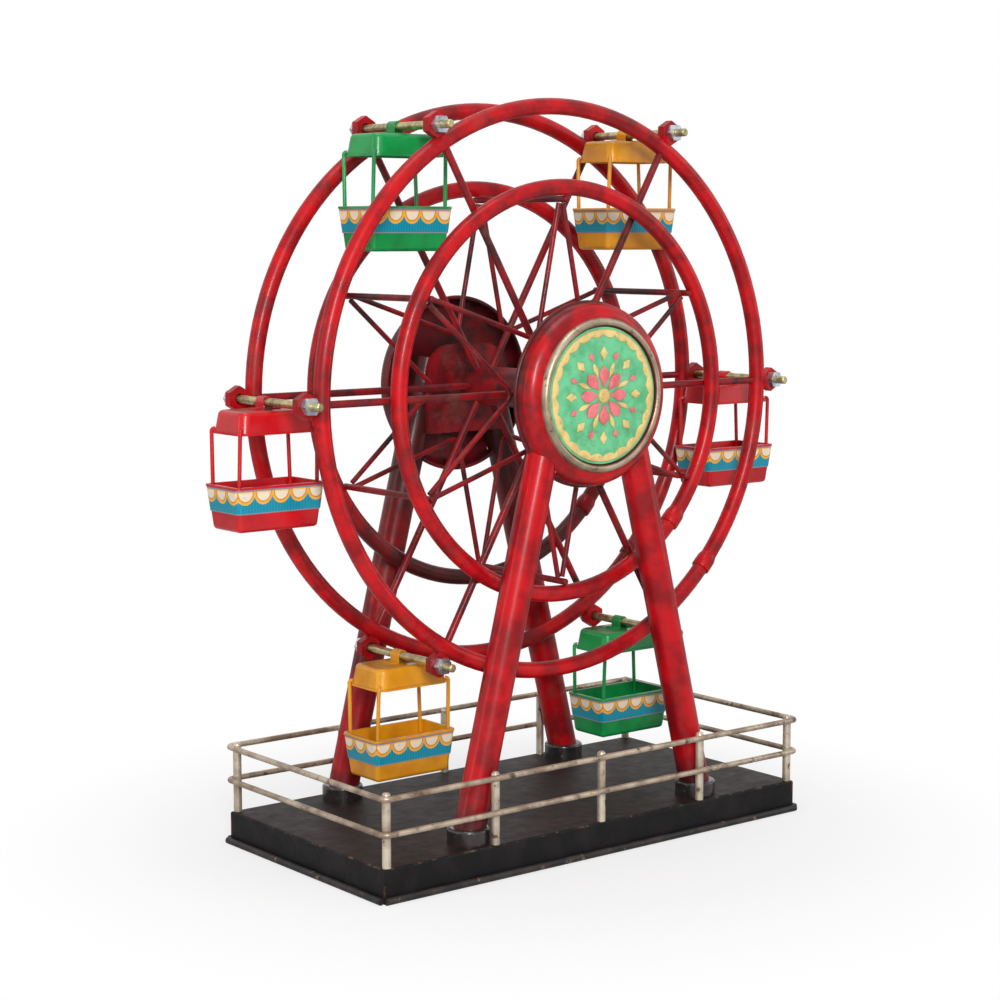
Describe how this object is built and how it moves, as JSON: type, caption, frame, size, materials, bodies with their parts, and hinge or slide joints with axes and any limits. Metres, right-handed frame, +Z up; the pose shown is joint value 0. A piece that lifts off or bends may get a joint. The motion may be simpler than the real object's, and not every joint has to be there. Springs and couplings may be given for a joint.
{
  "type": "toy ferris wheel",
  "caption": "Painted metal toy ferris wheel on a fenced plinth, with hanging gondolas that stay level while the wheel turns about its axle.",
  "frame": {"origin": "middle of the plinth's underside, on the surface the toy stands on", "axes": "+Z up; the axle runs along Y and the medallion faces -Y; X runs along the plinth's long side and in the wheel's plane"},
  "size_m": [0.3638, 0.1472, 0.3898],
  "materials": {
    "plinth_black": "satin, rubbed at the edges",
    "foot_black": "satin",
    "fence_silver": "satin",
    "frame_red": "satin with dark antiquing",
    "bezel_nickel": "aged metal",
    "medallion_mint": "satin enamel",
    "steel_plain": "plain turned",
    "rod_zinc": "yellow zinc",
    "nut_zinc": "bright zinc",
    "gondola_red": "gloss",
    "gondola_yellow": "gloss",
    "gondola_green": "gloss"
  },
  "bodies": {
    "stand": {"base_plinth": "plinth_black", "base_bottom_plate": "plinth_black", "base_edge_rods": "plinth_black", "fence_posts": "fence_silver", "fence_top_rail": "fence_silver", "fence_mid_rail": "fence_silver", "leg_front_left": "frame_red", "leg_front_right": "frame_red", "leg_back_left": "frame_red", "leg_back_right": "frame_red", "foot_cups": "foot_black", "front_cup": "frame_red", "back_cup": "frame_red", "medallion_bezel": "bezel_nickel", "medallion": "medallion_mint", "bearing_plate_front": "frame_red", "bearing_plate_back": "frame_red", "axle_shaft": "steel_plain", "axle_nuts": "steel_plain", "axle_spacers": "frame_red"},
    "wheel": {"hub_tube": "frame_red", "hub_bushes": "steel_plain", "ring_front_outer": "frame_red", "ring_back_outer": "frame_red", "ring_front_inner": "frame_red", "ring_back_inner": "frame_red", "radial_rods": "frame_red", "v_wires": "frame_red", "cross_rods": "frame_red", "eye_lugs": "frame_red", "rod_1_shaft": "rod_zinc", "rod_1_nuts": "nut_zinc", "rod_2_shaft": "rod_zinc", "rod_2_nuts": "nut_zinc", "rod_3_shaft": "rod_zinc", "rod_3_nuts": "nut_zinc", "rod_4_shaft": "rod_zinc", "rod_4_nuts": "nut_zinc", "rod_5_shaft": "rod_zinc", "rod_5_nuts": "nut_zinc", "rod_6_shaft": "rod_zinc", "rod_6_nuts": "nut_zinc"},
    "gondola_1": {"gondola_1_roof": "gondola_red", "gondola_1_wires": "gondola_red", "gondola_1_basin": "gondola_red"},
    "gondola_2": {"gondola_2_roof": "gondola_yellow", "gondola_2_wires": "gondola_yellow", "gondola_2_basin": "gondola_yellow"},
    "gondola_3": {"gondola_3_roof": "gondola_green", "gondola_3_wires": "gondola_green", "gondola_3_basin": "gondola_green"},
    "gondola_4": {"gondola_4_roof": "gondola_red", "gondola_4_wires": "gondola_red", "gondola_4_basin": "gondola_red"},
    "gondola_5": {"gondola_5_roof": "gondola_yellow", "gondola_5_wires": "gondola_yellow", "gondola_5_basin": "gondola_yellow"},
    "gondola_6": {"gondola_6_roof": "gondola_green", "gondola_6_wires": "gondola_green", "gondola_6_basin": "gondola_green"}
  },
  "joints": [
    {"name": "wheel_spin", "type": "hinge", "parent": "stand", "child": "wheel", "pos_m": [0, 0, 0.239], "axis": [0, 1, 0], "continuous": true},
    {"name": "gondola_1_hang", "type": "hinge", "parent": "wheel", "child": "gondola_1", "pos_m": [0.156, 0, 0.239], "axis": [0, 1, 0], "continuous": true},
    {"name": "gondola_2_hang", "type": "hinge", "parent": "wheel", "child": "gondola_2", "pos_m": [0.078, 0, 0.3741], "axis": [0, 1, 0], "continuous": true},
    {"name": "gondola_3_hang", "type": "hinge", "parent": "wheel", "child": "gondola_3", "pos_m": [-0.078, 0, 0.3741], "axis": [0, 1, 0], "continuous": true},
    {"name": "gondola_4_hang", "type": "hinge", "parent": "wheel", "child": "gondola_4", "pos_m": [-0.156, 0, 0.239], "axis": [0, 1, 0], "continuous": true},
    {"name": "gondola_5_hang", "type": "hinge", "parent": "wheel", "child": "gondola_5", "pos_m": [-0.078, 0, 0.1039], "axis": [0, 1, 0], "continuous": true},
    {"name": "gondola_6_hang", "type": "hinge", "parent": "wheel", "child": "gondola_6", "pos_m": [0.078, 0, 0.1039], "axis": [0, 1, 0], "continuous": true}
  ],
  "couplings": [
    {"joint": "gondola_1_hang", "follows": "wheel_spin", "ratio": -1},
    {"joint": "gondola_2_hang", "follows": "wheel_spin", "ratio": -1},
    {"joint": "gondola_3_hang", "follows": "wheel_spin", "ratio": -1},
    {"joint": "gondola_4_hang", "follows": "wheel_spin", "ratio": -1},
    {"joint": "gondola_5_hang", "follows": "wheel_spin", "ratio": -1},
    {"joint": "gondola_6_hang", "follows": "wheel_spin", "ratio": -1}
  ]
}
